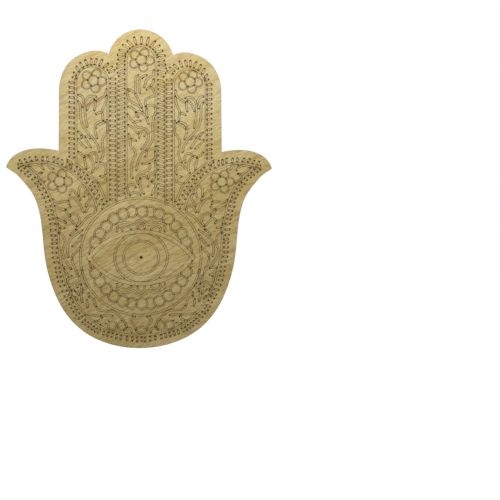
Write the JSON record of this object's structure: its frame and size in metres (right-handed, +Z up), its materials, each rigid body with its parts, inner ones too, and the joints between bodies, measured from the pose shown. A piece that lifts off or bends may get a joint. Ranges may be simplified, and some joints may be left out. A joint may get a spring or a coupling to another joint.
{
  "type": "hamsa hand ornament",
  "caption": "Flat hand-shaped wall ornament of scored three-ply wood, with three fingers, two curled thumbs and an open eye on the palm.",
  "frame": {"origin": "middle of the flat back face, at half the hand's width and half its height", "axes": "+Z up towards the fingertips, +Y from the scored front into the wall, +X to the right as seen from the front"},
  "size_m": [0.127, 0.003, 0.1524],
  "materials": {
    "scored_face": "raw sanded maple veneer with fine scored lines",
    "glue": "thin hardened glue line, browned at the cut edge",
    "core_wood": "raw core veneer, cross grain, browned at the cut edge",
    "back_wood": "raw sanded maple veneer"
  },
  "bodies": {
    "root": {"face_veneer": "scored_face", "front_glue_line": "glue", "core_veneer": "core_wood", "back_glue_line": "glue", "back_veneer": "back_wood"}
  },
  "joints": []
}
